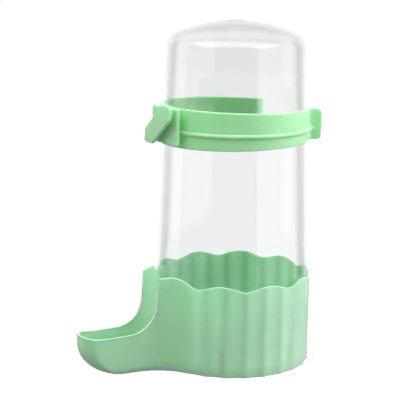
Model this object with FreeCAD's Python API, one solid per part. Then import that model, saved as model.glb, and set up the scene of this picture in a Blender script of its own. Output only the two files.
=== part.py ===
"""Clip-on gravity drinker for rabbits and small livestock.

Four moulded pieces: a fluted cup with a drinking trough, a clear bottle that
stands mouth down in the cup, a C-shaped clamp band round the bottle, and a
turn latch that locks the band's plate behind the wires of a cage.

Frame: origin on the bottle's axis, on the face the cup stands on. +Z is up
and the trough points along -Y. Every length is in millimetres.
"""
import FreeCAD, Part
import math
import os

V = FreeCAD.Vector
ORIGIN = V(0, 0, 0)
UP = V(0, 0, 1)
FULL_TURN = 360.0

# ---- cup
CUP_FOOT_R = 40.0            # radius over the ridges, at the foot
CUP_DRAFT = 0.006           # growth of that radius per mm of height
CUP_WALL = 1.1
CUP_FLOOR_Z = 2.2            # top of the floor
FLUTES = 25                  # one ridge points along the trough
FLUTE_DEPTH = 0.75
INNER_FLUTE_DEPTH = 0.3
FOOT_BAND_H = 5.7            # a faint step runs round the wall at this height
FOOT_BAND_STEP = 0.18
FOOT_RECESS_R = 34.0         # shallow hollow under the floor
FOOT_RECESS_DEPTH = 0.6
BLANK_TOP_Z = 50.0           # cup before its rim is trimmed

# ---- scalloped rim
RIM_MID_Z = 44.7
RIM_WAVE = 1.32              # half the height of a scallop
RIM_SCALLOPS = 10
RIM_WAVE_POWER = 1.45        # over 1: broad crests and narrow valleys
RIM_STEPS = 12               # points along each scallop
THROAT_RISE = 2.2            # the scallops beside the throat stand this much higher

# ---- trough
TROUGH_HALF_W = 8.8
TROUGH_REACH = 84.7          # tip to bottle axis
TROUGH_WALL = 1.3
TROUGH_KEEL_Y = 65.0         # the underside is flat as far out as this
TROUGH_KEEL_RISE = 16.0      # height over which the bow curves up to the tip
TROUGH_STEPS = 16            # sections from the keel to the upright tip
TROUGH_EDGE_R = 3.0          # rounding of the lower edges
TROUGH_INNER_EDGE_R = 2.0
TROUGH_END = 6.0             # depth of the half-ellipse that ends the plan
WEB_ANGLE = 28.8             # the concave webs run into the cup's wall here
WEB_ROOT = 0.5               # how far a web's end lies inside the wall
CHANNEL_ROOT = 2.1           # the same for the channel, inside the cup's hollow

# ---- trough's lip, seen from the side: (distance from the axis, height)
LIP_THROAT = (45.7, 52.0)    # the rim drops almost straight down from here
LIP_CORNER = (47.6, 20.6)
LIP_CORNER_R = 14.0
LIP_LOWEST = (74.0, 19.6)
LIP_LOWEST_R = 60.0
LIP_END = (95.0, 21.8)       # beyond the tip

# ---- bottle rests on these ribs, inside the cup
RIB_ANGLES = (55, 110, 180, 250, 305)
RIB_THICK = 1.6
RIB_TOP_Z = 14.0
RIB_REACH = 3.2              # how far a rib stands in from the wall

# ---- bottle
BOTTLE_WALL = 1.2
BOTTLE_MOUTH_Z = 14.3
BOTTLE_MOUTH_R = 37.6
BOTTLE_TAPER = 0.0344        # loss of radius per mm of height
BOTTLE_REF_Z = 60.0
BOTTLE_REF_R = 37.92         # radius at that height
BOTTLE_WAIST_Z = 47.0        # below here the wall tapers back into the cup
BOTTLE_WAIST_R = 150.0
BOTTLE_TOP_Z = 172.3
CROWN_R = 74.0
SHOULDER_R = 7.2
GATE_R = 3.7                 # moulding mark on the crown
GATE_H = 0.4

# ---- clamp band
CLAMP_TURN = 5.6             # degrees that the band is turned from the trough
BAND_GAP = 0.3               # between band and bottle
BAND_WALL = 1.6
BAND_MID_Z = 121.7
BAND_HALF_H = 8.6           # at the bottle's axis
BAND_NARROWING = 0.028       # each edge closes in by this per mm, front to back
BAND_BLANK_HALF_H = 14.0     # before its sloping edges are trimmed
BAND_ARM = 140.0             # degrees from the plate to where each tab begins
BEAD_R = 1.1
BEAD_Z = 119.6               # a little below the band's middle
TAB_INSIDE_R = 2.0
TAB_REACH = 5.9              # beyond the band's outside
TAB_CORNER_R = 2.2
BEAD_CURL = 80.0             # degrees that the bead follows the tab's curl

# ---- plate that the cage wires lie against
PLATE_HALF_W = 11.5
PLATE_FRONT = 41.5           # distance of its front face from the axis
PLATE_THICK = 1.8
PLATE_BOTTOM_Z = 113.7
PLATE_TOP_Z = 131.6
PLATE_CORNER_R = 0.8
PAD_HALF_W = 6.5             # block that joins plate and band
PAD_HALF_H = 7.5

# ---- turn latch
LATCH_Z = 123.4
LATCH_TILT = 50.0            # degrees from upright at rest
LATCH_HALF_L = 15.2          # to the point, before it is rounded
LATCH_HALF_W = 4.7
LATCH_SHOULDER = 10.0
LATCH_TIP_R = 1.8
LATCH_SIDE_R = 1.0
LATCH_THICK = 1.8
WIRE_GAP = 2.8               # between plate and latch bar
STEM_R = 3.0
STEM_PLAY = 0.08             # radial running clearance
SNAP_HEAD_R = 3.9
SNAP_HEAD_H = 0.9
SNAP_POCKET_R = 4.3
SNAP_POCKET_DEPTH = 1.5
SNAP_PLAY = 0.15             # end play of the head in its pocket
SNAP_SLOT_W = 1.2
SNAP_SLOT_DEPTH = 3.2
EDGE_R = 0.35                # softened moulded edges

REACH = 200.0                # longer than anything it has to cut through
ABOVE_ALL = 210.0            # higher than every piece
OVERLAP = 0.6                # how far solids that are joined run into each other
SLIVER = 0.02                # keeps a clearing cut off a face that stays


def polar(radius, degrees, z=0.0):
    """Point at an angle about the bottle's axis; 0 is the trough's side."""
    angle = math.radians(degrees)
    return V(radius * math.sin(angle), -radius * math.cos(angle), z)


def cup_radius(z):
    return CUP_FOOT_R + CUP_DRAFT * z


def bottle_radius(z):
    return BOTTLE_REF_R - BOTTLE_TAPER * (z - BOTTLE_REF_Z)


def rounded_wire(corners, radii):
    """Closed wire of straight runs, with a tangent arc at each corner."""
    count = len(corners)
    starts, middles, ends = [], [], []
    for i in range(count):
        corner = corners[i]
        before = (corner - corners[i - 1]).normalize()
        after = (corners[(i + 1) % count] - corner).normalize()
        half_turn = 0.5 * before.getAngle(after)
        back = radii[i] * math.tan(half_turn)
        starts.append(corner - before * back)
        ends.append(corner + after * back)
        inward = after - before
        if radii[i] > 0 and inward.Length > 1e-9:
            inward = inward.normalize()
            centre = corner + inward * (radii[i] / math.cos(half_turn))
            middles.append(centre - inward * radii[i])
        else:
            middles.append(None)
    edges = []
    for i in range(count):
        if middles[i] is not None:
            edges.append(Part.Arc(starts[i], middles[i], ends[i]).toShape())
        following = starts[(i + 1) % count]
        if (following - ends[i]).Length > 1e-6:
            edges.append(Part.LineSegment(ends[i], following).toShape())
    return Part.Wire(edges)


def prism(wire, direction):
    return Part.Face(wire).extrude(direction)


def export(node, shape):
    shape = shape.removeSplitter()
    solid = shape.Solids[0]
    print(node, len(shape.Solids), solid.isValid(), round(solid.Volume))
    solid.exportStep("parts/" + node + ".step")


# ---------------------------------------------------------------- cup

def fluted_wire(ridge_r, depth, z):
    """Ring of shallow concave arcs that meet in sharp ridges."""
    pitch = FULL_TURN / FLUTES
    arcs = []
    for i in range(FLUTES):
        start = polar(ridge_r, i * pitch, z)
        valley = polar(ridge_r - depth, (i + 0.5) * pitch, z)
        end = polar(ridge_r, (i + 1) * pitch, z)
        arcs.append(Part.Arc(start, valley, end).toShape())
    return Part.Wire(arcs)


def fluted_solid(z_low, z_high, inset, depth):
    low = fluted_wire(cup_radius(z_low) - inset, depth, z_low)
    high = fluted_wire(cup_radius(z_high) - inset, depth, z_high)
    return Part.makeLoft([low, high], True, True)


def cup_blank():
    body = fluted_solid(0, BLANK_TOP_Z, FOOT_BAND_STEP, FLUTE_DEPTH)
    band = fluted_solid(0, FOOT_BAND_H, 0, FLUTE_DEPTH)
    return body.fuse(band)


def trough_section(z, half_w, reach, cup_r):
    """Plan of the trough at one height, closed inside the cup.

    Two concave webs, tangent to the cup's wall, run into straight sides, and
    half an ellipse ends the plan.
    """
    web = math.radians(WEB_ANGLE)
    web_r = (cup_r * math.sin(web) - half_w) / (1 - math.sin(web))
    side_y = -(cup_r + web_r) * math.cos(web)
    end_depth = TROUGH_END * half_w / TROUGH_HALF_W
    end_y = end_depth - reach
    centre = V(half_w + web_r, side_y, z)
    root = polar(cup_r, WEB_ANGLE, z)
    middle = centre + (V(-1, 0, 0) + (root - centre).normalize()).normalize() * web_r
    side = V(half_w, side_y, z)
    end = V(half_w, end_y, z)
    ellipse = Part.Ellipse(end, V(0, -reach, z), V(0, end_y, z))

    def mirrored(p):
        return V(-p.x, p.y, p.z)

    return Part.Wire([
        Part.Arc(root, middle, side).toShape(),
        Part.LineSegment(side, end).toShape(),
        Part.ArcOfEllipse(ellipse, 0, math.pi).toShape(),
        Part.LineSegment(mirrored(end), mirrored(side)).toShape(),
        Part.Arc(mirrored(side), mirrored(middle), mirrored(root)).toShape(),
        Part.LineSegment(mirrored(root), root).toShape(),
    ])


def trough_solid(floor_z, inset, root_inset, edge_r):
    """Boat-shaped solid: the bow curves up and the lower edges are round."""
    rise = TROUGH_KEEL_RISE - floor_z
    bow = TROUGH_REACH - inset - TROUGH_KEEL_Y
    wires = []
    for i in range(TROUGH_STEPS + 1):
        turn = 0.5 * math.pi * i / TROUGH_STEPS
        above = rise * (1 - math.cos(turn))
        under = max(0.0, 1 - above / edge_r)
        half_w = TROUGH_HALF_W - inset - edge_r * (1 - math.sqrt(1 - under ** 2))
        reach = TROUGH_KEEL_Y + bow * math.sin(turn)
        z = floor_z + above
        wires.append(trough_section(z, half_w, reach, cup_radius(z) - root_inset))
    top = BLANK_TOP_Z + 0.5
    wires.append(trough_section(
        top, TROUGH_HALF_W - inset, TROUGH_REACH - inset, cup_radius(top) - root_inset))
    return Part.makeLoft(wires, True, True)


def lip_cut():
    """Everything above the trough's lip, beyond the throat."""
    outline = [
        LIP_THROAT, LIP_CORNER, LIP_LOWEST, LIP_END,
        (LIP_END[0], ABOVE_ALL), (LIP_THROAT[0], ABOVE_ALL)]
    corners = [V(-REACH, -out, z) for out, z in outline]
    radii = [0, LIP_CORNER_R, LIP_LOWEST_R, 0, 0, 0]
    return prism(rounded_wire(corners, radii), V(2 * REACH, 0, 0))


def rim_curve(radius):
    curve = Part.BSplineCurve()
    points = []
    steps = RIM_SCALLOPS * RIM_STEPS
    for i in range(steps):
        lobe = abs(math.sin(math.pi * i / RIM_STEPS)) ** RIM_WAVE_POWER
        beside_throat = i < RIM_STEPS or i > steps - RIM_STEPS
        height = 2 * RIM_WAVE + (THROAT_RISE if beside_throat else 0)
        points.append(polar(radius, FULL_TURN * i / steps, RIM_MID_Z - RIM_WAVE + height * lobe))
    curve.interpolate(Points=points, PeriodicFlag=True)
    return curve.toShape()


def rim_cut():
    """Everything above the scalloped surface of the rim."""
    surface = Part.makeRuledSurface(rim_curve(0.5 * CUP_FOOT_R), rim_curve(1.5 * CUP_FOOT_R))
    return surface.extrude(V(0, 0, 0.5 * CUP_FOOT_R))


def support_ribs():
    ribs = []
    wall_r = cup_radius(0) - CUP_WALL
    for angle in RIB_ANGLES:
        rib = Part.makeBox(RIB_THICK, RIB_REACH + OVERLAP, RIB_TOP_Z - CUP_FLOOR_Z + OVERLAP)
        rib.translate(V(-0.5 * RIB_THICK, -wall_r - OVERLAP, CUP_FLOOR_Z - OVERLAP))
        rib.rotate(ORIGIN, UP, angle)
        ribs.append(rib)
    return ribs


def base_cup():
    hull = trough_solid(0, 0, WEB_ROOT, TROUGH_EDGE_R)
    hollow = fluted_solid(CUP_FLOOR_Z, BLANK_TOP_Z + 1, CUP_WALL, INNER_FLUTE_DEPTH)
    channel = trough_solid(CUP_FLOOR_Z, TROUGH_WALL, CHANNEL_ROOT, TROUGH_INNER_EDGE_R)
    cup = cup_blank().fuse(hull)
    cup = cup.cut(hollow.fuse(channel))
    cup = cup.cut(lip_cut()).cut(rim_cut())
    cup = cup.cut(Part.makeCylinder(FOOT_RECESS_R, FOOT_RECESS_DEPTH))
    return cup.fuse(support_ribs())


# ---------------------------------------------------------------- bottle

def shoulder(inset):
    """Where the wall's cone, the shoulder arc and the crown meet."""
    slant = math.hypot(1, BOTTLE_TAPER)
    crown_z = BOTTLE_TOP_Z - CROWN_R
    radius = SHOULDER_R - inset
    reach = CROWN_R - SHOULDER_R
    offset = BOTTLE_REF_R + BOTTLE_TAPER * BOTTLE_REF_Z - SHOULDER_R * slant
    a = 1 + BOTTLE_TAPER ** 2
    b = offset * BOTTLE_TAPER + crown_z
    c = offset ** 2 + crown_z ** 2 - reach ** 2
    centre_z = (b + math.sqrt(b * b - a * c)) / a
    centre = V(offset - BOTTLE_TAPER * centre_z, 0, centre_z)
    outward = V(1, 0, BOTTLE_TAPER).normalize()
    upward = (centre - V(0, 0, crown_z)).normalize()
    between = (outward + upward).normalize()
    return centre + outward * radius, centre + between * radius, centre + upward * radius


def bottle_half(inset):
    """Edges of the wall's half section, from the mouth to the axis."""
    on_cone, on_arc, on_crown = shoulder(inset)
    crown_top = V(0, 0, BOTTLE_TOP_Z - inset)
    tilt = math.asin(on_crown.x / (CROWN_R - inset))
    crown_mid = V(
        (CROWN_R - inset) * math.sin(0.5 * tilt), 0,
        BOTTLE_TOP_Z - CROWN_R + (CROWN_R - inset) * math.cos(0.5 * tilt))
    mouth = V(BOTTLE_MOUTH_R - inset, 0, BOTTLE_MOUTH_Z)
    waist = V(bottle_radius(BOTTLE_WAIST_Z) - inset, 0, BOTTLE_WAIST_Z)
    below = (mouth - waist).normalize()
    above = (on_cone - waist).normalize()
    half_turn = 0.5 * (math.pi - below.getAngle(above))
    back = BOTTLE_WAIST_R * math.tan(half_turn)
    inward = (below + above).normalize()
    bulge = BOTTLE_WAIST_R * (1 / math.cos(half_turn) - 1)
    low, high = waist + below * back, waist + above * back
    return mouth, crown_top, [
        Part.LineSegment(mouth, low).toShape(),
        Part.Arc(low, waist + inward * bulge, high).toShape(),
        Part.LineSegment(high, on_cone).toShape(),
        Part.Arc(on_cone, on_arc, on_crown).toShape(),
        Part.Arc(on_crown, crown_mid, crown_top).toShape(),
    ]


def bottle():
    mouth_out, top_out, outside = bottle_half(0)
    mouth_in, top_in, inside = bottle_half(BOTTLE_WALL)
    edges = outside + [Part.LineSegment(top_out, top_in).toShape()]
    edges += inside + [Part.LineSegment(mouth_in, mouth_out).toShape()]
    wire = Part.Wire(Part.__sortEdges__(edges))
    shell = Part.Face(wire).revolve(ORIGIN, UP, FULL_TURN)
    gate = Part.makeCylinder(GATE_R, GATE_H + OVERLAP, V(0, 0, BOTTLE_TOP_Z - OVERLAP))
    return shell.fuse(gate)


# ---------------------------------------------------------------- clamp band
# Built with its plate towards -Y, then turned by CLAMP_TURN.

def band_arc():
    """The band proper: a slice of the cone that the bottle's wall makes."""
    low, high = BAND_MID_Z - BAND_BLANK_HALF_H, BAND_MID_Z + BAND_BLANK_HALF_H
    inner_low = bottle_radius(low) + BAND_GAP
    inner_high = bottle_radius(high) + BAND_GAP
    wire = Part.makePolygon([
        V(inner_low, 0, low), V(inner_low + BAND_WALL, 0, low),
        V(inner_high + BAND_WALL, 0, high), V(inner_high, 0, high),
        V(inner_low, 0, low)])
    face = Part.Face(wire)
    face.rotate(ORIGIN, UP, -90 - BAND_ARM)
    return face.revolve(ORIGIN, UP, 2 * BAND_ARM)


def band_outside():
    return bottle_radius(BAND_MID_Z) + BAND_GAP + BAND_WALL


def bead():
    """Half-round stiffening bead along the outside, below mid height."""
    centre = V(band_outside(), 0, BEAD_Z)
    face = Part.Face(Part.Wire(Part.makeCircle(BEAD_R, centre, V(0, 1, 0))))
    face.rotate(ORIGIN, UP, -90 - BAND_ARM)
    return face.revolve(ORIGIN, UP, 2 * BAND_ARM)


def tab_strip(side):
    """The tab's curl: a quarter turn outward, then a flat with a round end."""
    outer = band_outside()
    inner = outer - BAND_WALL
    low_z = BAND_MID_Z - BAND_BLANK_HALF_H
    lean = BOTTLE_TAPER * BAND_BLANK_HALF_H
    bend_x = outer + TAB_INSIDE_R
    outside_r = TAB_INSIDE_R + BAND_WALL
    nose_r = 0.5 * BAND_WALL
    nose_x = outer + TAB_REACH - nose_r
    slant = math.sqrt(0.5)

    def at(x, along):
        return V(x + lean, side * along, low_z)

    wire = Part.Wire([
        Part.LineSegment(at(inner, -OVERLAP), at(outer, -OVERLAP)).toShape(),
        Part.LineSegment(at(outer, -OVERLAP), at(outer, 0)).toShape(),
        Part.Arc(
            at(outer, 0),
            at(bend_x - TAB_INSIDE_R * slant, TAB_INSIDE_R * slant),
            at(bend_x, TAB_INSIDE_R)).toShape(),
        Part.LineSegment(at(bend_x, TAB_INSIDE_R), at(nose_x, TAB_INSIDE_R)).toShape(),
        Part.Arc(
            at(nose_x, TAB_INSIDE_R),
            at(nose_x + nose_r, TAB_INSIDE_R + nose_r),
            at(nose_x, outside_r)).toShape(),
        Part.LineSegment(at(nose_x, outside_r), at(bend_x, outside_r)).toShape(),
        Part.Arc(
            at(bend_x, outside_r),
            at(bend_x - outside_r * slant, outside_r * slant),
            at(inner, 0)).toShape(),
        Part.LineSegment(at(inner, 0), at(inner, -OVERLAP)).toShape(),
    ])
    return prism(wire, V(-2 * lean, 0, 2 * BAND_BLANK_HALF_H))


def bead_end(side):
    """The bead follows the curl for most of its quarter turn and ends round."""
    outer = band_outside()
    hinge = V(outer + TAB_INSIDE_R, 0, 0)
    circle = Part.Wire(Part.makeCircle(BEAD_R, V(outer, 0, BEAD_Z), V(0, 1, 0)))
    swept = Part.Face(circle).revolve(hinge, UP, -side * BEAD_CURL)
    turn = math.radians(BEAD_CURL)
    finish = V(
        hinge.x - TAB_INSIDE_R * math.cos(turn), side * TAB_INSIDE_R * math.sin(turn), BEAD_Z)
    return [swept, Part.makeSphere(BEAD_R, finish)]


def tab_corner(up):
    """What the rounding of a tab's upper (up = 1) or lower corner takes away."""
    back_y = band_outside() * math.cos(math.radians(180 - BAND_ARM))
    edge_z = BAND_MID_Z + up * (BAND_HALF_H - BAND_NARROWING * back_y)
    tip_x = band_outside() + TAB_REACH
    clear = 2 * TAB_CORNER_R
    bulge = TAB_CORNER_R * (1 - math.sqrt(0.5))

    def at(inward, downward):
        return V(tip_x - inward, -REACH, edge_z - up * downward)

    wire = Part.Wire([
        Part.Arc(at(0, TAB_CORNER_R), at(bulge, bulge), at(TAB_CORNER_R, 0)).toShape(),
        Part.LineSegment(at(TAB_CORNER_R, 0), at(TAB_CORNER_R, -clear)).toShape(),
        Part.LineSegment(at(TAB_CORNER_R, -clear), at(-clear, -clear)).toShape(),
        Part.LineSegment(at(-clear, -clear), at(-clear, TAB_CORNER_R)).toShape(),
        Part.LineSegment(at(-clear, TAB_CORNER_R), at(0, TAB_CORNER_R)).toShape(),
    ])
    return prism(wire, V(0, 2 * REACH, 0))


def tab(side):
    """Finger tab at one end of the band, for side +1 or -1."""
    shape = tab_strip(side).fuse(bead_end(side))
    shape = shape.cut([tab_corner(1), tab_corner(-1)])
    shape.rotate(ORIGIN, UP, -90 + side * BAND_ARM)
    return shape


def edge_wedge(up):
    """Removes what lies beyond one sloping edge of the band."""
    edge_z = BAND_MID_Z + up * BAND_HALF_H
    far_z = BAND_MID_Z + up * REACH
    drop = up * BAND_NARROWING * REACH
    wire = Part.makePolygon([
        V(-REACH, -REACH, edge_z + drop), V(-REACH, REACH, edge_z - drop),
        V(-REACH, REACH, far_z), V(-REACH, -REACH, far_z),
        V(-REACH, -REACH, edge_z + drop)])
    return prism(wire, V(2 * REACH, 0, 0))


def plate():
    """Flat plate in front of the band, and the pad that carries it."""
    outline = [
        (-PLATE_HALF_W, PLATE_BOTTOM_Z), (PLATE_HALF_W, PLATE_BOTTOM_Z),
        (PLATE_HALF_W, PLATE_TOP_Z), (-PLATE_HALF_W, PLATE_TOP_Z)]
    corners = [V(x, -PLATE_FRONT, z) for x, z in outline]
    panel = prism(rounded_wire(corners, [PLATE_CORNER_R] * 4), V(0, PLATE_THICK, 0))
    front = PLATE_FRONT - 0.5 * PLATE_THICK
    back = band_outside() - 0.5 * BAND_WALL
    pad = Part.makeBox(
        2 * PAD_HALF_W, front - back, 2 * PAD_HALF_H,
        V(-PAD_HALF_W, -front, LATCH_Z - PAD_HALF_H))
    return panel.fuse(pad)


def stem_hole():
    """Bearing for the latch's stem, and the pocket for its snap head."""
    axis = V(0, 1, 0)
    start = V(0, -1.5 * PLATE_FRONT, LATCH_Z)
    hole = Part.makeCylinder(STEM_R + STEM_PLAY, PLATE_FRONT, start, axis)
    pocket = Part.makeCylinder(SNAP_POCKET_R, PLATE_FRONT, V(0, -pocket_floor(), LATCH_Z), axis)
    return hole.fuse(pocket)


def pocket_floor():
    """Distance from the axis to the face that the snap head bears on."""
    return bottle_radius(LATCH_Z) + BAND_GAP + SNAP_POCKET_DEPTH


def bore():
    """Keeps tabs, bead and pad out of the space that the bottle takes."""
    low, high = BAND_MID_Z - 2 * BAND_BLANK_HALF_H, BAND_MID_Z + 2 * BAND_BLANK_HALF_H
    clear = BAND_GAP - SLIVER
    return Part.makeCone(
        bottle_radius(low) + clear, bottle_radius(high) + clear, high - low, V(0, 0, low))


def clamp_band():
    band = band_arc().fuse([bead(), tab(1), tab(-1)])
    band = band.cut([edge_wedge(1), edge_wedge(-1)])
    band = band.fuse(plate()).cut(stem_hole()).cut(bore())
    band.rotate(ORIGIN, UP, CLAMP_TURN)
    return band


# ---------------------------------------------------------------- latch

def latch_bar(back_y):
    """Long flat hexagon, pointed at both ends, with a softened front edge."""
    outline = [
        (LATCH_HALF_L, 0), (LATCH_SHOULDER, LATCH_HALF_W), (-LATCH_SHOULDER, LATCH_HALF_W),
        (-LATCH_HALF_L, 0), (-LATCH_SHOULDER, -LATCH_HALF_W), (LATCH_SHOULDER, -LATCH_HALF_W)]
    corners = [V(across, back_y, LATCH_Z + along) for along, across in outline]
    radii = [LATCH_TIP_R, LATCH_SIDE_R, LATCH_SIDE_R] * 2
    bar = prism(rounded_wire(corners, radii), V(0, -LATCH_THICK, 0))
    front_y = back_y - LATCH_THICK
    front = [edge for edge in bar.Edges if edge.BoundBox.YMax < front_y + SLIVER]
    return bar.makeFillet(EDGE_R, front)


def turn_latch():
    """Hexagonal bar with a stem whose split head snaps in behind the plate."""
    back_y = -PLATE_FRONT - WIRE_GAP
    head_y = SNAP_PLAY - pocket_floor()
    axis = V(0, 1, 0)
    stem = Part.makeCylinder(STEM_R, head_y - back_y + OVERLAP, V(0, back_y, LATCH_Z), axis)
    head = Part.makeCylinder(SNAP_HEAD_R, SNAP_HEAD_H, V(0, head_y, LATCH_Z), axis)
    slot_y = head_y + SNAP_HEAD_H - SNAP_SLOT_DEPTH
    slot = Part.makeBox(
        2 * SNAP_POCKET_R, SNAP_SLOT_DEPTH, SNAP_SLOT_W,
        V(-SNAP_POCKET_R, slot_y, LATCH_Z - 0.5 * SNAP_SLOT_W))
    latch = latch_bar(back_y).fuse([stem, head]).cut(slot)
    latch.rotate(V(0, 0, LATCH_Z), axis, LATCH_TILT)
    latch.rotate(ORIGIN, UP, CLAMP_TURN)
    return latch


os.makedirs("parts", exist_ok=True)
export("base_cup_with_trough", base_cup())
export("bottle", bottle())
export("clamp_band", clamp_band())
export("turn_latch", turn_latch())
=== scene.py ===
"""Looks of the clip-on drinker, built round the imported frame.

Lengths are in metres and angles in degrees. The origin is on the bottle's axis at
the foot, +Z is up and the trough points along -Y.
"""
import math

import bmesh
import bpy
from mathutils import Matrix, Vector


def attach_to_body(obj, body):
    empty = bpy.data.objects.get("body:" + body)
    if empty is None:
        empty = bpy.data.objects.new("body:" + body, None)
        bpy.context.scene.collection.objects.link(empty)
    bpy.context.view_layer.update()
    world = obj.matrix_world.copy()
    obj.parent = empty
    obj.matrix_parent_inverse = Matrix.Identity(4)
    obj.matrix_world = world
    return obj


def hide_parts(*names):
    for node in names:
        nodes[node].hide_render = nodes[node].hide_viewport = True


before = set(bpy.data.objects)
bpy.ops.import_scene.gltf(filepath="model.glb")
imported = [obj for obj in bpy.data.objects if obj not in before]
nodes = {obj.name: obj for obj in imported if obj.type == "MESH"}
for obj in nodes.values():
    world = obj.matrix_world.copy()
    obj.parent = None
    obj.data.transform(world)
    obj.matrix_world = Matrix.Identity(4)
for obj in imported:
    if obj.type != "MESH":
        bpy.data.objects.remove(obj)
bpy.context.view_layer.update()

scene = bpy.context.scene

# ---- camera, placed by the object's own frame
CAMERA_REACH = 0.6796        # horizontal distance from the bottle's axis
CAMERA_HEIGHT = 0.2182
CAMERA_AROUND = 61.05        # degrees from the trough's side, towards +X
CAMERA_YAW = -1.42           # degrees that it looks past the axis
CAMERA_DOWN = 11.39
CAMERA_ROLL = 0.814
CAMERA_LENS = 122.67         # mm, on the sensor below
CAMERA_SENSOR = 36.0

# ---- studio
ROOM_LIGHT = 0.15            # brightness of the room round the object
ROOM_MIRRORED = 0.2          # the same, as the plastic mirrors it
FLOOR_LIGHT = 0.25           # brightness of the floor as it lights the object
FLOOR_SEEN = 1.13            # the same, as the camera sees it
FLOOR_MATT = 0.12            # share of the floor that takes a shadow
FLOOR_HALF = 3.0
LIGHT_AIM_Z = 0.08           # height on the axis that every light faces

# name, degrees from the camera, reach, height, (width, height), brightness, mirrored
LIGHTS = (
    ("right_softbox", 78, 0.9, 0.15, (1.6, 2.0), 1.05, True),
    ("right_key", 100, 0.8, 0.30, (0.4, 0.8), 3.9, False),
    ("right_fill", 58, 0.7, 0.12, (0.4, 0.4), 0.6, False),
    ("left_softbox", -62, 0.9, 0.10, (1.0, 2.0), 0.75, False),
    ("left_strip", -103, 0.8, 0.15, (0.42, 2.0), 0.8, True),
    ("top_softbox", 0, 0.14, 0.46, (0.9, 0.34), 2.3, True),
    ("backdrop", 180, 1.2, 0.5, (2.4, 2.0), 0.75, True),
    ("backdrop_glow", 180, 0.7, 0.5, (1.2, 0.8), 1.5, False),
)

# ---- cup, the same sizes as its CAD node
FOOT_R = 0.040
CUP_DRAFT = 0.006
CUP_WALL = 0.0011
FLOOR_Z = 0.0022
FLUTE_PITCH = 360.0 / 25
FLUTE_DEPTH = 0.00075
INNER_FLUTE_DEPTH = 0.0003
FOOT_BAND_H = 0.0057
FOOT_BAND_STEP = 0.00018
FOOT_ROUND = 0.0003
RECESS_R = 0.034             # hollow under the floor
RECESS_DEPTH = 0.0006
FLOOR_RING_R = 0.030         # ring of the floor's mesh, inside the wall
RIM_MID_Z = 0.0447
RIM_WAVE = 0.00132
RIM_LOBES = 5                # pairs of scallops
RIM_POWER = 1.45             # over 1: broad crests and narrow valleys
THROAT_RISE = 0.0022         # the scallops beside the throat stand this much higher
RIB_ANGLES = (55, 110, 180, 250, 305)
RIB_SIZE = (0.0016, 0.0032, 0.0118)                # thickness, reach from the wall, height
RIB_ROOT_GAP = 0.2           # how far inside the wall a rib starts, in wall thicknesses

# ---- trough
TROUGH_HALF_W = 0.0088
TROUGH_REACH = 0.0847
TROUGH_WALL = 0.0013
KEEL_Y = 0.065               # the underside is flat as far out as this
KEEL_RISE = 0.016            # height over which the bow curves up to the tip
KEEL_EDGE_R = 0.003
CHANNEL_EDGE_R = 0.002
TROUGH_END = 0.006           # depth of the half-ellipse that ends the plan
WEB_ANGLE = 28.8             # the concave webs run into the cup's wall here
LIP = [(0.0457, 0.052), (0.0476, 0.0206), (0.0740, 0.0196), (0.095, 0.0218)]   # (reach, height)
LIP_RADII = [0, 0.014, 0.060, 0]

# ---- bottle
BOTTLE_WALL = 0.0012
BOTTLE_MOUTH = (0.0376, 0.0143)                    # radius, height
BOTTLE_WAIST_Z = 0.047
BOTTLE_WAIST_R = 0.150
BOTTLE_TAPER = 0.0344        # loss of radius per metre of height
BOTTLE_REF = (0.03792, 0.060)                      # radius at a height
BOTTLE_TOP_Z = 0.1723
CROWN_R = 0.074
SHOULDER_R = 0.0072
GATE = (0.0037, 0.0004)                            # moulding mark's radius and height
GATE_SHAPE = ((1.0, 0.0), (0.97, 0.8), (0.9, 1.0))   # its outline, in shares of those two
GATE_CLEAR = 1.1             # the crown's mesh stops at this many mark radii

# ---- clamp band
CLAMP_TURN = 5.6             # degrees that the band is turned from the trough
BAND_GAP = 0.0003
BAND_WALL = 0.0016
BAND_MID_Z = 0.1217
BAND_HALF_H = 0.0086
BAND_NARROWING = 0.028       # each edge closes in by this per metre, front to back
BAND_ARM = 140               # degrees from the plate to where each tab begins
BEAD_R = 0.0011
BEAD_DROP = 0.0021           # below the band's middle
BEAD_FADE = 6                # power by which the bead fades along the tab's curl
TAB_INSIDE_R = 0.002
TAB_REACH = 0.0059
TAB_CORNER_R = 0.0022
TAB_END_THIN = 0.02          # least squared share of the wall left at a tab's end
EDGE_R = 0.0004              # softened moulded edges
PLATE = (0.0115, 0.0415, 0.0018, 0.1137, 0.1316)   # half width, front, thickness, bottom, top
PLATE_CORNER_R = 0.0008
PAD = (0.0065, 0.0075)                             # half width, half height
PAD_CORNER_R = 0.0006
PAD_EDGE_R = 0.0002
LATCH_Z = 0.1234             # the pad is centred on the latch's stem

# ---- how finely the meshes are cut
LIP_SPACING = 0.0012
LIP_STEPS = 24
TIP_COLUMNS = 12             # round a quarter of the tip
WEB_COLUMNS = 14             # from the throat to the web's end
WEB_COLUMN_START = 0.4       # the first of them, in column widths from the throat
FLUTE_COLUMNS = 8            # to one flute
FAN_START = 1.75             # columns nearer the cup than this fan out
OUTER_LOW_ROWS = (0.0, 0.0001, 0.0003, 0.0008, 0.0016, 0.003, 0.0044, 0.0056, 0.00585)
INNER_LOW_ROWS = (0.0, 0.0002, 0.0005, 0.001, 0.002, 0.0035)
HIGH_ROWS = 12
HIGH_ROWS_END = 0.84         # they stop this share of the way up, below the rounded rim
RIM_STEPS = 8
SHARP_ANGLE = 50             # edges that turn by more stay sharp
ARM_STEPS = 64
CURL_STEPS = 8
TAB_STEPS = 8
ARC_STEPS = 14               # round the bottle's shoulder
CROWN_STEPS = 20
WAIST_STEPS = 6
MOUTH_STEPS = 6
LATHE_STEPS = 192
CORNER_STEPS = 4             # round a corner of a plate
EDGE_STEPS = 3               # round a softened edge
BEAD_STEPS = 8
MERGE_GAP = 1e-7

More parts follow.
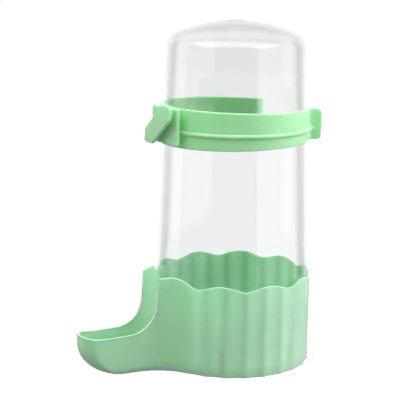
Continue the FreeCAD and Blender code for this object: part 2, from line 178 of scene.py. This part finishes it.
# ---- colours, linear
# painted sheen: the cup is the clamp's plastic, but its mint is mixed greyer and a little darker,
# the white floor's sheen painted into its colour
CUP_MINT_PAINTED_SHEEN = (0.46, 0.68, 0.51)
CLAMP_MINT = (0.43, 0.74, 0.46)
MINT_TONES = (0.97, 1.04)    # darkest and lightest cloud, in shares of the colour
CLEAR_TINT = (0.958, 0.959, 0.959)
CLEAR_MIRROR = 0.04          # share mirrored by a face met head on
MIRROR_POWER = 5.0           # how sharply that share grows towards the outline
WHITE = (1.0, 1.0, 1.0)
FLOOR_WHITE = (0.9, 0.9, 0.9)

# ---- surfaces: noises by (scale per metre, detail), bumps by (depth, strength)
UNIT = (0.0, 1.0)
NOISE_SPAN = (0.3, 0.7)      # nearly all of a noise lies in here
NOISE_ROUGHNESS = 0.55
CLOUD_SPAN = (0.35, 0.65)
MINT_CLOUD = (28.0, 3.0)
MINT_GRAIN = (2600.0, 2.0)
MINT_GRAIN_BUMP = (0.00002, 0.35)
MINT_RIPPLE = (120.0, 2.0)
MINT_RIPPLE_BUMP = (0.0001, 0.25)
MINT_ROUGHNESS = (0.28, 0.36)
MINT_IOR = 1.49
MINT_SCATTER = (0.5, 1.0, 0.55)                    # how far red, green and blue spread
MINT_SCATTER_DEPTH = 0.003
CLEAR_SMEAR = (18.0, 3.0)
CLEAR_ROUGHNESS = (0.02, 0.05)
CLEAR_RIPPLE = (45.0, 2.0)
CLEAR_RIPPLE_BUMP = (0.0002, 0.12)
FLOOR_GRAIN = (60.0, 3.0)
FLOOR_ROUGHNESS = (0.4, 0.6)

UP = Vector((0, 0, 1))


# ---------------------------------------------------------------- node helpers

def rgba(colour):
    return tuple(colour) + (1.0,)


def new_material(name):
    material = bpy.data.materials.new(name)
    material.use_nodes = True
    tree = material.node_tree
    for node in list(tree.nodes):
        tree.nodes.remove(node)
    return material, tree


def add(tree, kind, **inputs):
    """New node; an input's name has _ for a space."""
    node = tree.nodes.new(kind)
    for name, value in inputs.items():
        node.inputs[name.replace("_", " ")].default_value = value
    return node


def noise(tree, coords, kind):
    scale, detail = kind
    node = add(
        tree, "ShaderNodeTexNoise", Scale=scale, Detail=detail, Roughness=NOISE_ROUGHNESS)
    tree.links.new(coords, node.inputs["Vector"])
    return node.outputs["Fac"]


def remap(tree, value, span, to_span):
    """Value carried over from one (low, high) span to another, and kept within it."""
    node = add(
        tree, "ShaderNodeMapRange",
        From_Min=span[0], From_Max=span[1], To_Min=to_span[0], To_Max=to_span[1])
    tree.links.new(value, node.inputs["Value"])
    return node.outputs["Result"]


def math_node(tree, operation, value, second):
    node = tree.nodes.new("ShaderNodeMath")
    node.operation = operation
    tree.links.new(value, node.inputs[0])
    node.inputs[1].default_value = second
    return node.outputs["Value"]


def bump(tree, height, kind, normal=None):
    distance, strength = kind
    node = add(tree, "ShaderNodeBump", Strength=strength, Distance=distance)
    tree.links.new(height, node.inputs["Height"])
    if normal is not None:
        tree.links.new(normal, node.inputs["Normal"])
    return node.outputs["Normal"]


def object_coords(tree):
    return add(tree, "ShaderNodeTexCoord").outputs["Object"]


def finish_material(tree, shader):
    output = add(tree, "ShaderNodeOutputMaterial")
    tree.links.new(shader, output.inputs["Surface"])


# ---------------------------------------------------------------- materials

def mint_plastic(name, colour):
    """Satin moulded polypropylene: slightly uneven colour and gloss."""
    material, tree = new_material(name)
    links = tree.links
    coords = object_coords(tree)
    cloud = noise(tree, coords, MINT_CLOUD)
    grain = noise(tree, coords, MINT_GRAIN)
    ripple = noise(tree, coords, MINT_RIPPLE)

    tone = add(tree, "ShaderNodeMix")
    tone.data_type = "RGBA"
    for end, share in zip("AB", MINT_TONES):
        tone.inputs[end].default_value = rgba(c * share for c in colour)
    links.new(remap(tree, cloud, CLOUD_SPAN, UNIT), tone.inputs["Factor"])

    shader = add(tree, "ShaderNodeBsdfPrincipled")
    shader.inputs["IOR"].default_value = MINT_IOR
    shader.inputs["Subsurface Weight"].default_value = 1.0
    shader.inputs["Subsurface Radius"].default_value = MINT_SCATTER
    shader.inputs["Subsurface Scale"].default_value = MINT_SCATTER_DEPTH
    links.new(tone.outputs["Result"], shader.inputs["Base Color"])
    links.new(remap(tree, cloud, NOISE_SPAN, MINT_ROUGHNESS), shader.inputs["Roughness"])
    fine = bump(tree, grain, MINT_GRAIN_BUMP)
    links.new(bump(tree, ripple, MINT_RIPPLE_BUMP, fine), shader.inputs["Normal"])
    finish_material(tree, shader.outputs["BSDF"])
    return material


def clear_plastic():
    """Thin clear polystyrene: passes nearly all light and mirrors at its faces."""
    material, tree = new_material("clear_plastic")
    links = tree.links
    coords = object_coords(tree)
    ripple = noise(tree, coords, CLEAR_RIPPLE)
    smear = noise(tree, coords, CLEAR_SMEAR)
    normal = bump(tree, ripple, CLEAR_RIPPLE_BUMP)

    passed = add(tree, "ShaderNodeBsdfTransparent")
    passed.inputs["Color"].default_value = rgba(CLEAR_TINT)
    mirror = add(tree, "ShaderNodeBsdfGlossy")
    mirror.inputs["Color"].default_value = rgba(WHITE)
    links.new(remap(tree, smear, NOISE_SPAN, CLEAR_ROUGHNESS), mirror.inputs["Roughness"])
    links.new(normal, mirror.inputs["Normal"])
    facing = add(tree, "ShaderNodeLayerWeight", Blend=0.5)
    links.new(normal, facing.inputs["Normal"])
    power = math_node(tree, "POWER", facing.outputs["Facing"], MIRROR_POWER)
    blend = add(tree, "ShaderNodeMixShader")
    links.new(remap(tree, power, UNIT, (CLEAR_MIRROR, 1.0)), blend.inputs["Fac"])
    links.new(passed.outputs["BSDF"], blend.inputs[1])
    links.new(mirror.outputs["BSDF"], blend.inputs[2])
    finish_material(tree, blend.outputs["Shader"])
    return material


def white_floor():
    """Plain pale floor that takes a faint shadow; the object gets less of its glow."""
    material, tree = new_material("white_floor")
    links = tree.links
    coords = object_coords(tree)
    matt = add(tree, "ShaderNodeBsdfDiffuse")
    grain = noise(tree, coords, FLOOR_GRAIN)
    links.new(remap(tree, grain, NOISE_SPAN, FLOOR_ROUGHNESS), matt.inputs["Roughness"])
    matt.inputs["Color"].default_value = rgba(FLOOR_WHITE)
    glow = add(tree, "ShaderNodeEmission")
    seen = add(tree, "ShaderNodeLightPath").outputs["Is Camera Ray"]
    links.new(remap(tree, seen, UNIT, (FLOOR_LIGHT, FLOOR_SEEN)), glow.inputs["Strength"])
    blend = add(tree, "ShaderNodeMixShader", Fac=FLOOR_MATT)
    links.new(glow.outputs["Emission"], blend.inputs[1])
    links.new(matt.outputs["BSDF"], blend.inputs[2])
    finish_material(tree, blend.outputs["Shader"])
    return material


# ---------------------------------------------------------------- studio

def around(reach, degrees, height):
    """Point at an angle about the bottle's axis; 0 is the trough's side."""
    angle = math.radians(degrees)
    return Vector((reach * math.sin(angle), -reach * math.cos(angle), height))


def make_camera():
    yaw, down, roll = (math.radians(a) for a in (CAMERA_YAW, CAMERA_DOWN, CAMERA_ROLL))
    spot = around(CAMERA_REACH, CAMERA_AROUND, CAMERA_HEIGHT)
    look = Vector((-spot.x, -spot.y, 0)).normalized()
    right = look.cross(UP)
    look = look * math.cos(yaw) + right * math.sin(yaw)
    right = look.cross(UP)
    look = look * math.cos(down) - UP * math.sin(down)
    up = right.cross(look)
    right, up = (
        right * math.cos(roll) + up * math.sin(roll),
        up * math.cos(roll) - right * math.sin(roll))
    data = bpy.data.cameras.new("camera")
    data.sensor_width = CAMERA_SENSOR
    data.lens = CAMERA_LENS
    camera = bpy.data.objects.new("camera", data)
    turn = Matrix((right, up, -look)).transposed().to_4x4()
    camera.matrix_world = Matrix.Translation(spot) @ turn
    scene.collection.objects.link(camera)
    scene.camera = camera


def softbox(name, degrees, reach, height, size, brightness, mirrored):
    """Area light facing the object; degrees as in around()."""
    data = bpy.data.lights.new(name, "AREA")
    data.shape = "RECTANGLE"
    data.size, data.size_y = size
    data.energy = brightness * math.pi * size[0] * size[1]
    light = bpy.data.objects.new(name, data)
    light.location = around(reach, degrees, height)
    aim = UP * LIGHT_AIM_Z - light.location
    light.rotation_euler = aim.to_track_quat("-Z", "Y").to_euler()
    light.visible_camera = False
    light.visible_glossy = mirrored
    scene.collection.objects.link(light)


def make_studio():
    world = bpy.data.worlds.new("studio")
    scene.world = world
    world.use_nodes = True
    tree = world.node_tree
    path = add(tree, "ShaderNodeLightPath").outputs
    seen = remap(tree, path["Is Camera Ray"], UNIT, (ROOM_LIGHT, 1.0))
    mirrored = remap(tree, path["Is Glossy Ray"], UNIT, (1.0, ROOM_MIRRORED / ROOM_LIGHT))
    strength = math_node(tree, "MULTIPLY", seen, 1.0)
    tree.links.new(mirrored, strength.node.inputs[1])
    background = tree.nodes["Background"]
    background.inputs["Color"].default_value = rgba(WHITE)
    tree.links.new(strength, background.inputs["Strength"])
    scene.view_settings.view_transform = "Standard"

    mesh = bpy.data.meshes.new("floor")
    half = FLOOR_HALF
    corners = [(-half, -half, 0), (half, -half, 0), (half, half, 0), (-half, half, 0)]
    mesh.from_pydata(corners, [], [(0, 1, 2, 3)])
    floor = bpy.data.objects.new("floor", mesh)
    floor.data.materials.append(white_floor())
    scene.collection.objects.link(floor)
    floor.visible_glossy = False

    for name, degrees, reach, height, extent, brightness, is_mirrored in LIGHTS:
        softbox(name, CAMERA_AROUND + degrees, reach, height, extent, brightness, is_mirrored)


# ---------------------------------------------------------------- mesh helpers

def mix(a, b, t):
    return a + (b - a) * t


def sink_of(radius, share):
    """How far a round of that radius has fallen at a share of its way out."""
    return radius * (1 - math.sqrt(1 - share ** 2))


def turn_about_axis(degrees):
    return Matrix.Rotation(math.radians(degrees), 4, "Z")


def rounded_line(points, radii, steps):
    """Flat polyline with a tangent arc at each inner corner."""
    points = [Vector(p) for p in points]
    out = [points[0]]
    for before, corner, after, radius in zip(points, points[1:], points[2:], radii[1:]):
        way_in, way_out = (corner - before).normalized(), (after - corner).normalized()
        half_turn = 0.5 * way_in.angle(way_out)
        centre = corner + (way_out - way_in).normalized() * (radius / math.cos(half_turn))
        start = corner - way_in * radius * math.tan(half_turn) - centre
        side = math.copysign(1.0, way_in.x * way_out.y - way_in.y * way_out.x)
        for i in range(steps + 1):
            spin = Matrix.Rotation(side * 2 * half_turn * i / steps, 2)
            out.append(centre + spin @ start)
    return out + [points[-1]]


def piece_from_rings(name, rings, material, first_point, last_point):
    """Quads between neighbouring rings, closed to a point at each end."""
    count = len(rings[0])
    vertices = [tuple(p) for ring in rings for p in ring]
    faces = []
    for j in range(len(rings) - 1):
        near, far = j * count, (j + 1) * count
        for i in range(count):
            k = (i + 1) % count
            faces.append((near + i, near + k, far + k, far + i))
    first_hub, last_hub = len(vertices), len(vertices) + 1
    vertices += [tuple(first_point), tuple(last_point)]
    last = (len(rings) - 1) * count
    faces += [((i + 1) % count, i, first_hub) for i in range(count)]
    faces += [(last + i, last + (i + 1) % count, last_hub) for i in range(count)]
    mesh = bpy.data.meshes.new(name)
    mesh.from_pydata(vertices, [], faces)
    return finish_mesh(name, mesh, material)


def finish_mesh(name, mesh, material):
    """Object of a mesh, with its doubled points merged and only sharp edges sharp."""
    bm = bmesh.new()
    bm.from_mesh(mesh)
    bmesh.ops.remove_doubles(bm, verts=bm.verts, dist=MERGE_GAP)
    bmesh.ops.recalc_face_normals(bm, faces=bm.faces)
    bm.to_mesh(mesh)
    bm.free()
    mesh.shade_smooth()
    mesh.set_sharp_from_angle(angle=math.radians(SHARP_ANGLE))
    mesh.materials.append(material)
    piece = bpy.data.objects.new(name, mesh)
    scene.collection.objects.link(piece)
    even = piece.modifiers.new("even_shading", "WEIGHTED_NORMAL")
    even.keep_sharp = True
    return piece


def attach(piece, body, node):
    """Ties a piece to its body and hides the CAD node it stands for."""
    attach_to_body(piece, body)
    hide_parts(node)


# ---------------------------------------------------------------- cup and trough

class Wall:
    """One face of the cup's wall, outer or inner, as points of plan place and height.

    The place runs 0-1 round the trough's end, 1-2 along its side, 2-3 along the
    concave web and 3-4 round the fluted cup to the side opposite the trough.
    """

    def __init__(self, floor_z, inset, cup_inset, flute_depth, edge_r):
        self.floor_z, self.inset, self.cup_inset = floor_z, inset, cup_inset
        self.flute_depth, self.edge_r = flute_depth, edge_r

    def sizes(self, z):
        """Trough's half width, its reach and the cup's radius at a height."""
        above = max(0.0, z - self.floor_z)
        rise = KEEL_RISE - self.floor_z
        swing = math.sqrt(max(0.0, 1 - max(0.0, 1 - above / rise) ** 2))
        under = max(0.0, 1 - above / self.edge_r)
        half_w = TROUGH_HALF_W - self.inset - sink_of(self.edge_r, under)
        reach = mix(KEEL_Y, TROUGH_REACH - self.inset, swing)
        cup_r = FOOT_R + CUP_DRAFT * z - self.cup_inset
        if self.cup_inset == 0 and z > FOOT_BAND_H:
            cup_r -= FOOT_BAND_STEP
        low = max(0.0, 1 - above / FOOT_ROUND)
        cup_r -= sink_of(FOOT_ROUND, low)
        return half_w, reach, cup_r

    def web(self, half_w, cup_r):
        """Radius of the web's arc, and -y of where it leaves the trough's side."""
        slope = math.sin(math.radians(WEB_ANGLE))
        radius = (cup_r * slope - half_w) / (1 - slope)
        return radius, (cup_r + radius) * math.cos(math.radians(WEB_ANGLE))

    def point(self, place, z):
        half_w, reach, cup_r = self.sizes(z)
        web_r, side_y = self.web(half_w, cup_r)
        end_depth = TROUGH_END * half_w / TROUGH_HALF_W
        if place <= 1:
            angle = 0.5 * math.pi * place
            depth = end_depth * (1 - math.cos(angle))
            return Vector((half_w * math.sin(angle), depth - reach, z))
        if place <= 2:
            return Vector((half_w, mix(end_depth - reach, -side_y, place - 1), z))
        if place <= 3:
            angle = math.radians(90 - WEB_ANGLE) * (place - 2)
            across = half_w + web_r - web_r * math.cos(angle)
            return Vector((across, -side_y + web_r * math.sin(angle), z))
        degrees = mix(WEB_ANGLE, 180.0, place - 3)
        part = (degrees / FLUTE_PITCH) % 1.0
        return around(cup_r - self.flute_depth * 4 * part * (1 - part), degrees, z)

    def place_at(self, y, z):
        """Where along the trough and web the wall is at -y."""
        half_w, reach, cup_r = self.sizes(z)
        web_r, side_y = self.web(half_w, cup_r)
        end_depth = TROUGH_END * half_w / TROUGH_HALF_W
        if y >= reach - end_depth:
            share = min(1.0, max(0.0, 1 - (reach - y) / end_depth))
            return math.acos(share) / (0.5 * math.pi)
        if y >= side_y:
            return 1 + (reach - end_depth - y) / (reach - end_depth - side_y)
        return 2 + math.asin(min(1.0, (side_y - y) / web_r)) / math.radians(90 - WEB_ANGLE)


def rim_height(point):
    """Height of the scalloped rim at a point's angle about the axis."""
    degrees = math.degrees(math.atan2(abs(point.x), -point.y))
    lobe = abs(math.sin(math.radians(RIM_LOBES * degrees))) ** RIM_POWER
    rise = THROAT_RISE if degrees < 180.0 / RIM_LOBES else 0.0
    return RIM_MID_Z - RIM_WAVE + (2 * RIM_WAVE + rise) * lobe


def evenly(line, spacing):
    """Points at even spacing along a polyline."""
    out = [line[0].copy()]
    left = spacing
    for a, b in zip(line, line[1:]):
        run = (b - a).length
        at = left
        while at <= run:
            out.append(a.lerp(b, at / run))
            at += spacing
        left = at - run
    return out


def top_edge(wall):
    """(place, height) along the lip, up the throat's edge and round half the rim.

    Also returns how many of them lie before the web's end.
    """
    lip_line = rounded_line(LIP, LIP_RADII, LIP_STEPS)
    lip = evenly(lip_line, LIP_SPACING)
    lip.reverse()
    edge = []
    for i in range(TIP_COLUMNS):
        place = i / TIP_COLUMNS
        edge.append((place, height_along(lip_line, -wall.point(place, LIP[-1][1]).y)))
    corner = None
    for reach, z in lip:
        place = wall.place_at(reach, z)
        point = wall.point(place, z)
        if place >= 1 and z < rim_height(point):
            edge.append((place, z))
            corner = place
    for i in range(WEB_COLUMNS):
        place = mix(corner, 3.0, (i + WEB_COLUMN_START) / WEB_COLUMNS)
        edge.append((place, rim_height(wall.point(place, RIM_MID_Z))))
    web_end = len(edge)
    flutes = (180.0 - WEB_ANGLE) / FLUTE_PITCH
    columns = int(flutes * FLUTE_COLUMNS)
    for i in range(columns + 1):
        place = 3 + i / columns
        edge.append((place, rim_height(wall.point(place, RIM_MID_Z))))
    return edge, web_end


def height_along(line, reach):
    """Height of a (reach, height) line at a reach."""
    for a, b in zip(line, line[1:]):
        if a.x <= reach <= b.x:
            return mix(a.y, b.y, (reach - a.x) / (b.x - a.x))
    return line[-1].y


def foot_places(edge, web_end):
    """Where each column stands on the foot: columns of the steep edge fan out."""
    first = max(i for i, (place, z) in enumerate(edge[:web_end]) if place <= FAN_START)
    places = [place for place, z in edge]
    for i in range(first, web_end):
        places[i] = mix(edge[first][0], 3.0, (i - first) / (web_end - first))
    return places


def wall_rows(wall, edge, feet, low_rows):
    """Rings of half the wall, from its foot to just under its edge."""
    rows = [[wall.point(foot, z) for foot in feet] for z in low_rows]
    base_z = low_rows[-1]
    for i in range(1, HIGH_ROWS):
        part = HIGH_ROWS_END * i / (HIGH_ROWS - 1)
        row = []
        for foot, (place, top) in zip(feet, edge):
            z = mix(base_z, top, 1 - (1 - part) ** 2)
            row.append(wall.point(mix(foot, place, part), z))
        rows.append(row)
    return rows


def rounded_edge(outer, inner):
    """Half-round rim between the tops of the outer and the inner face."""
    rings = [[] for _ in range(RIM_STEPS + 1)]
    down = -UP
    for i, (out, into) in enumerate(zip(outer, inner)):
        across = out - into
        radius = 0.5 * across.length
        across = across.normalized()
        if 0 < i < len(outer) - 1:
            along = (outer[i + 1] - outer[i - 1]).normalized()
            turned = across.cross(along).normalized()
            down = turned if turned.dot(down) > 0 else -turned
        else:
            down = -UP
        middle = (out + into) * 0.5 + down * radius
        for step in range(RIM_STEPS + 1):
            angle = math.pi * step / RIM_STEPS
            bulge = across * math.cos(angle) - down * math.sin(angle)
            rings[step].append(middle + bulge * radius)
    return rings


def both_halves(row):
    """A half ring, from the tip to the far side, and its mirror image."""
    mirrored = [Vector((-p.x, p.y, p.z)) for p in row[1:-1]]
    return row + mirrored[::-1]


def flat_ring(row, radius, z):
    """Circle with a point at the angle of each point of a row."""
    return [around(radius, math.degrees(math.atan2(p.x, -p.y)), z) for p in row]


def make_cup(material):
    outside = Wall(0.0, 0.0, 0.0, FLUTE_DEPTH, KEEL_EDGE_R)
    inside = Wall(FLOOR_Z, TROUGH_WALL, CUP_WALL, INNER_FLUTE_DEPTH, CHANNEL_EDGE_R)
    edge, web_end = top_edge(outside)
    feet = foot_places(edge, web_end)
    outer_rows = wall_rows(outside, edge, feet, OUTER_LOW_ROWS)
    inner_rows = wall_rows(inside, edge, feet, [FLOOR_Z + z for z in INNER_LOW_ROWS])
    outer_top = [outside.point(place, z) for place, z in edge]
    inner_top = [inside.point(place, z) for place, z in edge]
    rim = rounded_edge(outer_top, inner_top)
    foot = outer_rows[0]
    rows = [flat_ring(foot, RECESS_R, RECESS_DEPTH), flat_ring(foot, RECESS_R, 0.0)]
    rows += outer_rows + rim + inner_rows[::-1]
    rows.append(flat_ring(inner_rows[0], FLOOR_RING_R, FLOOR_Z))
    rings = [both_halves(row) for row in rows]
    cup = piece_from_rings("cup_shell", rings, material, (0, 0, RECESS_DEPTH), (0, 0, FLOOR_Z))
    attach(cup, "cup", "base_cup_with_trough")
    for number, degrees in enumerate(RIB_ANGLES):
        make_rib(number, degrees, material)


def make_rib(number, degrees, material):
    """Upright rib inside the cup that the bottle's mouth stands on."""
    thick, reach, tall = RIB_SIZE
    bm = bmesh.new()
    bmesh.ops.create_cube(bm, size=1.0)
    wall_r = FOOT_R - (1 + RIB_ROOT_GAP) * CUP_WALL
    middle = (0, 0.5 * reach - wall_r, FLOOR_Z + 0.5 * tall - EDGE_R)
    bmesh.ops.scale(bm, vec=(thick, reach, tall), verts=bm.verts)
    bmesh.ops.translate(bm, vec=middle, verts=bm.verts)
    bmesh.ops.bevel(bm, geom=bm.edges[:], offset=0.5 * EDGE_R, segments=2, affect="EDGES")
    bmesh.ops.transform(bm, matrix=turn_about_axis(degrees), verts=bm.verts)
    mesh = bpy.data.meshes.new("rib")
    bm.to_mesh(mesh)
    bm.free()
    rib = finish_mesh(f"cup_rib_{number + 1}", mesh, material)
    rib.data.shade_flat()
    rib.visible_shadow = False
    attach(rib, "cup", "base_cup_with_trough")


# ---------------------------------------------------------------- bottle

def bottle_radius(z):
    """Outside radius of the tapered wall at a height."""
    return BOTTLE_REF[0] - BOTTLE_TAPER * (z - BOTTLE_REF[1])


def shoulder_centre():
    """Centre of the shoulder arc, tangent to the wall's cone and to the crown."""
    offset = bottle_radius(0.0) - SHOULDER_R * math.hypot(1, BOTTLE_TAPER)
    crown_z = BOTTLE_TOP_Z - CROWN_R
    a = 1 + BOTTLE_TAPER ** 2
    b = offset * BOTTLE_TAPER + crown_z
    c = offset ** 2 + crown_z ** 2 - (CROWN_R - SHOULDER_R) ** 2
    z = (b + math.sqrt(b * b - a * c)) / a
    return Vector((offset - BOTTLE_TAPER * z, z))


def bottle_outline(inset):
    """(radius, height) from the mouth to the crown's middle."""
    centre = shoulder_centre()
    crown = Vector((0, BOTTLE_TOP_Z - CROWN_R))
    start = math.atan(BOTTLE_TAPER)
    finish = math.atan2(centre.y - crown.y, centre.x)
    arc_r = SHOULDER_R - inset
    arc = [
        centre + arc_r * Vector((math.cos(t), math.sin(t)))
        for t in (mix(start, finish, i / ARC_STEPS) for i in range(ARC_STEPS + 1))]
    mouth = Vector((BOTTLE_MOUTH[0] - inset, BOTTLE_MOUTH[1] + 0.5 * BOTTLE_WALL))
    waist = Vector((bottle_radius(BOTTLE_WAIST_Z) - inset, BOTTLE_WAIST_Z))
    wall = rounded_line([mouth, waist, arc[0]], [0, BOTTLE_WAIST_R, 0], WAIST_STEPS)
    lean = math.atan2(arc[-1].x, arc[-1].y - crown.y)
    edge = GATE_CLEAR * GATE[0] / CROWN_R
    top = [
        crown + (CROWN_R - inset) * Vector((math.sin(t), math.cos(t)))
        for t in (mix(lean, edge, i / CROWN_STEPS) for i in range(1, CROWN_STEPS + 1))]
    return wall[:-1] + arc + top


def lathe(name, outline, material):
    """Piece turned from a (radius, height) outline that starts and ends near the axis."""
    rings = [
        [around(radius, 360.0 * i / LATHE_STEPS, z) for i in range(LATHE_STEPS)]
        for radius, z in outline]
    return piece_from_rings(name, rings, material, (0, 0, outline[0][1]), (0, 0, outline[-1][1]))


def make_bottle(material):
    gate_r, gate_h = GATE
    outside = bottle_outline(0.0)
    inside = bottle_outline(BOTTLE_WALL)
    crest = outside[-1].y
    gate = [Vector((gate_r * out, crest + gate_h * up)) for out, up in GATE_SHAPE]
    lip_r = 0.5 * BOTTLE_WALL
    lip_centre = Vector((BOTTLE_MOUTH[0] - lip_r, BOTTLE_MOUTH[1] + lip_r))
    lip = [
        lip_centre - lip_r * Vector((math.cos(t), math.sin(t)))
        for t in (math.pi * i / MOUTH_STEPS for i in range(1, MOUTH_STEPS))]
    outline = inside[::-1] + lip + outside + gate
    bottle = lathe("bottle_shell", outline, material)
    bottle.visible_shadow = False
    attach(bottle, "bottle", "bottle")


# ---------------------------------------------------------------- clamp band

def arc_points(centre, radii, start, sweep, steps):
    """Points along part of an ellipse, from a start angle through a sweep."""
    angles = [math.radians(start + sweep * i / steps) for i in range(steps + 1)]
    return [
        (centre[0] + radii[0] * math.cos(angle), centre[1] + radii[1] * math.sin(angle))
        for angle in angles]


def band_section(half_h, wall, bead):
    """(out, up) round the band's section, starting at the lower outer corner."""
    half_w = 0.5 * wall
    corner_r = min(EDGE_R, half_w)
    cx, cy = half_w - corner_r, half_h - corner_r
    section = arc_points((cx, -cy), (corner_r, corner_r), -90, 90, EDGE_STEPS)
    section += arc_points((half_w, -BEAD_DROP), (bead, BEAD_R), -90, 180, BEAD_STEPS)
    for centre, start in (((cx, cy), 0), ((-cx, cy), 90), ((-cx, -cy), 180)):
        section += arc_points(centre, (corner_r, corner_r), start, 90, EDGE_STEPS)
    return section


def band_stations():
    """Along one arm: (middle of the wall, outward direction, half height, wall, bead).

    The bead is given as a share of its full stand-out.
    """
    middle_r = bottle_radius(BAND_MID_Z) + BAND_GAP + 0.5 * BAND_WALL
    stations = []
    for i in range(ARM_STEPS + 1):
        degrees = BAND_ARM * i / ARM_STEPS
        out = around(1.0, degrees, 0.0)
        stations.append((out * middle_r, out, BAND_WALL, 1.0))
    start, arm_out = stations[-1][:2]
    along = Vector((-arm_out.y, arm_out.x, 0))
    curl_r = TAB_INSIDE_R + 0.5 * BAND_WALL
    hinge = start + arm_out * curl_r
    for i in range(1, CURL_STEPS + 1):
        turn = 0.5 * math.pi * i / CURL_STEPS
        out = arm_out * math.cos(turn) - along * math.sin(turn)
        bead = max(0.0, 1 - (i / CURL_STEPS) ** BEAD_FADE)
        stations.append((hinge - out * curl_r, out, BAND_WALL, bead))
    start, out = stations[-1][:2]
    nose = 0.5 * BAND_WALL
    run = TAB_REACH - TAB_INSIDE_R - nose
    for i in range(1, TAB_STEPS + 1):
        travel = (run + nose) * math.sin(0.5 * math.pi * i / TAB_STEPS)
        past = max(0.0, travel - run) / nose
        wall = BAND_WALL * math.sqrt(max(TAB_END_THIN, 1 - past ** 2))
        stations.append((start + arm_out * travel, out, wall, 0.0))
    rows = []
    for number, (spot, out, wall, bead) in enumerate(stations):
        half_h = BAND_HALF_H - BAND_NARROWING * spot.y
        beyond = (spot - start).dot(arm_out) - (run + nose - TAB_CORNER_R)
        if number > ARM_STEPS + CURL_STEPS and beyond > 0:
            half_h -= sink_of(TAB_CORNER_R, min(1.0, beyond / TAB_CORNER_R))
        rows.append((spot, out, half_h, wall, bead))
    return rows


def section_ring(row):
    """The section at a station, leaning with the bottle's wall."""
    spot, out, half_h, wall, bead = row
    ring = []
    for across, up in band_section(half_h, wall, BEAD_R * bead):
        lean = -BOTTLE_TAPER * up
        ring.append(spot + out * (across + lean) + UP * (BAND_MID_Z + up))
    return ring


def slab(name, outline, front, depth, edge, material):
    """Flat plate facing -Y with every edge rounded; outline is (x, z) points."""
    centre = sum((Vector(p) for p in outline), Vector((0, 0))) / len(outline)
    layers = []
    for i in range(EDGE_STEPS + 1):
        angle = 0.5 * math.pi * i / EDGE_STEPS
        layers.append((edge * (1 - math.sin(angle)), edge * (1 - math.cos(angle))))
    depths = [(inset, sink - front) for inset, sink in layers]
    depths += [(inset, depth - sink - front) for inset, sink in reversed(layers)]
    rings = []
    for inset, y in depths:
        rings.append([
            Vector((
                x - math.copysign(inset, x - centre.x), y,
                z - math.copysign(inset, z - centre.y)))
            for x, z in outline])
    near, far = (centre.x, -front, centre.y), (centre.x, depth - front, centre.y)
    return piece_from_rings(name, rings, material, near, far)


def plate_outline(half_w, low, high, corner):
    """(x, z) round a rectangle with rounded corners."""
    cx, low, high = half_w - corner, low + corner, high - corner
    outline = []
    for centre, start in (((cx, high), 0), ((-cx, high), 90), ((-cx, low), 180), ((cx, low), 270)):
        outline += arc_points(centre, (corner, corner), start, 90, CORNER_STEPS)
    return outline


def make_band(material):
    arm = band_stations()
    other = [
        (Vector((-spot.x, spot.y, 0)), Vector((-out.x, out.y, 0)), *sizes)
        for spot, out, *sizes in arm[1:]]
    rings = [section_ring(row) for row in other[::-1] + arm]
    ends = [sum(ring, Vector()) / len(ring) for ring in (rings[0], rings[-1])]
    band = piece_from_rings("clamp_ring", rings, material, *ends)
    half_w, front, thick, low, high = PLATE
    outline = plate_outline(half_w, low, high, PLATE_CORNER_R)
    plate = slab("clamp_plate", outline, front, thick, EDGE_R, material)
    pad_w, pad_h = PAD
    pad_front = front - 0.5 * thick
    pad_back = bottle_radius(BAND_MID_Z) + BAND_GAP + 0.5 * BAND_WALL
    outline = plate_outline(pad_w, LATCH_Z - pad_h, LATCH_Z + pad_h, PAD_CORNER_R)
    pad = slab("clamp_pad", outline, pad_front, pad_front - pad_back, PAD_EDGE_R, material)
    for piece in (band, plate, pad):
        piece.data.transform(turn_about_axis(CLAMP_TURN))
        attach(piece, "clamp", "clamp_band")


# ---------------------------------------------------------------- build

make_camera()
make_studio()
# the cup's material carries a painted sheen: its mint is greyer than the clamp's
cup_mint_painted_sheen = mint_plastic("cup_mint_painted_sheen", CUP_MINT_PAINTED_SHEEN)
clamp_mint = mint_plastic("clamp_mint", CLAMP_MINT)
clear = clear_plastic()
make_cup(cup_mint_painted_sheen)
make_bottle(clear)
make_band(clamp_mint)
latch_slots = nodes["turn_latch"].data.materials
latch_slots.clear()
latch_slots.append(clamp_mint)
